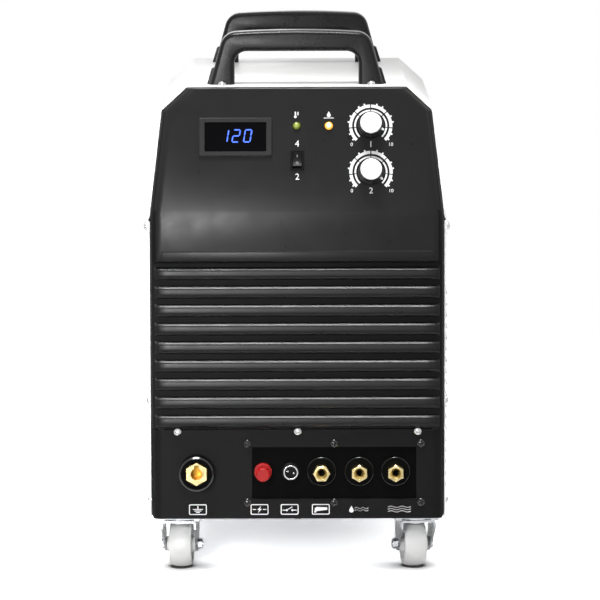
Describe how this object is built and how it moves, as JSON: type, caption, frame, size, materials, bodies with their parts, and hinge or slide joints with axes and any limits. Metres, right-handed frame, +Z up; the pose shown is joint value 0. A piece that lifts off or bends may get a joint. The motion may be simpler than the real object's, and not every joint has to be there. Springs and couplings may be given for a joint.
{
  "type": "plasma cutter unit",
  "caption": "Upright portable plasma cutter: black moulded ribbed front, white sheet covers, panel meter, dials, brass hose fittings, carrying handles and swivel casters.",
  "frame": {"origin": "on the floor under the centre of the overall box", "axes": "+Z up, the front faces -Y, +X to the right as seen from the front"},
  "size_m": [0.3328, 0.556, 0.591],
  "materials": {
    "black_moulding": "fine satin texture",
    "black_paint": "fine powder coat",
    "white_paint": "smooth powder coat",
    "black_plate": "satin",
    "handle_grip": "satin",
    "zinc_steel": "bright zinc plate",
    "black_screw": "black oxide",
    "grey_bezel": "semi-gloss",
    "dark_window": "tinted, polished",
    "green_lamp": "translucent lens",
    "amber_lamp": "translucent lens",
    "black_knob": "satin",
    "white_cap": "semi-gloss",
    "dull_metal": "mill finish",
    "bright_brass": "turned, bright",
    "red_plastic": "semi-gloss",
    "chrome_ring": "plated",
    "white_nylon": "smooth nylon",
    "core_steel": "varnished laminations",
    "copper_winding": "varnished copper",
    "blue_can": "sleeved cans",
    "circuit_board": "solder mask"
  },
  "bodies": {
    "chassis": {"base_tray": "zinc_steel", "top_cover": "white_paint", "left_side_panel": "white_paint", "right_side_panel": "white_paint", "upper_fascia": "black_moulding", "lower_panel": "black_paint", "connector_plate": "black_plate", "rear_panel": "black_paint", "front_handle": "handle_grip", "rear_handle": "handle_grip", "handle_bolts": "zinc_steel", "panel_screws": "zinc_steel", "connector_plate_screws": "black_screw", "display_bezel": "grey_bezel", "display_window": "dark_window", "temp_lamp": "green_lamp", "water_lamp": "amber_lamp", "rocker_housing": "black_plate", "potentiometers": "dull_metal", "earth_socket_insulator": "black_plate", "earth_socket_brass": "bright_brass", "pilot_post_base": "red_plastic", "switch_socket_shell": "chrome_ring", "switch_socket_insert": "black_plate", "fitting_bushings": "black_plate", "torch_fitting": "bright_brass", "water_fitting": "bright_brass", "air_fitting": "bright_brass", "caster_plates": "zinc_steel", "caster_bolts": "zinc_steel", "fan_frames": "black_plate", "fan_guards": "zinc_steel", "mains_switch_body": "black_plate", "cable_gland": "black_plate", "air_inlet": "bright_brass", "inner_frame": "zinc_steel", "heatsinks": "dull_metal", "main_transformer": "core_steel", "output_choke": "copper_winding", "capacitors": "blue_can", "power_board": "circuit_board", "control_board": "circuit_board", "solenoid_valve": "bright_brass"},
    "mode_rocker": {"mode_rocker": "black_plate"},
    "current_dial": {"current_knob": "black_knob", "current_knob_cap": "white_cap"},
    "time_dial": {"time_knob": "black_knob", "time_knob_cap": "white_cap"},
    "post_knob": {"pilot_post_knob": "red_plastic"},
    "front_left_swivel": {"front_left_fork": "zinc_steel"},
    "front_right_swivel": {"front_right_fork": "zinc_steel"},
    "rear_left_swivel": {"rear_left_fork": "zinc_steel"},
    "rear_right_swivel": {"rear_right_fork": "zinc_steel"},
    "front_left_roller": {"front_left_wheel": "white_nylon"},
    "front_right_roller": {"front_right_wheel": "white_nylon"},
    "rear_left_roller": {"rear_left_wheel": "white_nylon"},
    "rear_right_roller": {"rear_right_wheel": "white_nylon"},
    "upper_rotor": {"upper_fan_rotor": "black_plate"},
    "lower_rotor": {"lower_fan_rotor": "black_plate"},
    "mains_knob": {"mains_switch_knob": "red_plastic"}
  },
  "joints": [
    {"name": "current_dial_turn", "type": "hinge", "parent": "chassis", "child": "current_dial", "pos_m": [0.0803, -0.22931, 0.4896], "axis": [0, -0.9613, 0.2756], "range_deg": [-25, 245]},
    {"name": "time_dial_turn", "type": "hinge", "parent": "chassis", "child": "time_dial", "pos_m": [0.0803, -0.24341, 0.4404], "axis": [0, -0.9613, 0.2756], "range_deg": [-11, 259]},
    {"name": "mode_rocker_tilt", "type": "hinge", "parent": "chassis", "child": "mode_rocker", "pos_m": [0.0004, -0.23878, 0.45292], "axis": [1, 0, 0], "range_deg": [0, 20]},
    {"name": "post_knob_turn", "type": "hinge", "parent": "chassis", "child": "post_knob", "pos_m": [-0.0378, -0.262, 0.114], "axis": [0, -1, 0], "range_deg": [0, 720]},
    {"name": "front_left_swing", "type": "hinge", "parent": "chassis", "child": "front_left_swivel", "pos_m": [-0.1298, -0.211, 0.057], "axis": [0, 0, 1], "continuous": true},
    {"name": "front_left_roll", "type": "hinge", "parent": "front_left_swivel", "child": "front_left_roller", "pos_m": [-0.12834, -0.19005, 0.025], "axis": [0.9976, -0.0698, 0], "continuous": true},
    {"name": "rear_left_swing", "type": "hinge", "parent": "chassis", "child": "rear_left_swivel", "pos_m": [-0.1298, 0.211, 0.057], "axis": [0, 0, 1], "continuous": true},
    {"name": "rear_left_roll", "type": "hinge", "parent": "rear_left_swivel", "child": "rear_left_roller", "pos_m": [-0.1298, 0.232, 0.025], "axis": [1, 0, 0], "continuous": true},
    {"name": "front_right_swing", "type": "hinge", "parent": "chassis", "child": "front_right_swivel", "pos_m": [0.1298, -0.211, 0.057], "axis": [0, 0, 1], "continuous": true},
    {"name": "front_right_roll", "type": "hinge", "parent": "front_right_swivel", "child": "front_right_roller", "pos_m": [0.12688, -0.1902, 0.025], "axis": [0.9903, 0.1392, 0], "continuous": true},
    {"name": "rear_right_swing", "type": "hinge", "parent": "chassis", "child": "rear_right_swivel", "pos_m": [0.1298, 0.211, 0.057], "axis": [0, 0, 1], "continuous": true},
    {"name": "rear_right_roll", "type": "hinge", "parent": "rear_right_swivel", "child": "rear_right_roller", "pos_m": [0.1298, 0.232, 0.025], "axis": [1, 0, 0], "continuous": true},
    {"name": "upper_fan_spin", "type": "hinge", "parent": "chassis", "child": "upper_rotor", "pos_m": [0, 0.229, 0.392], "axis": [0, 1, 0], "continuous": true},
    {"name": "lower_fan_spin", "type": "hinge", "parent": "chassis", "child": "lower_rotor", "pos_m": [0, 0.229, 0.256], "axis": [0, 1, 0], "continuous": true},
    {"name": "mains_knob_turn", "type": "hinge", "parent": "chassis", "child": "mains_knob", "pos_m": [0.072, 0.255, 0.488], "axis": [0, 1, 0], "range_deg": [0, 90]}
  ]
}
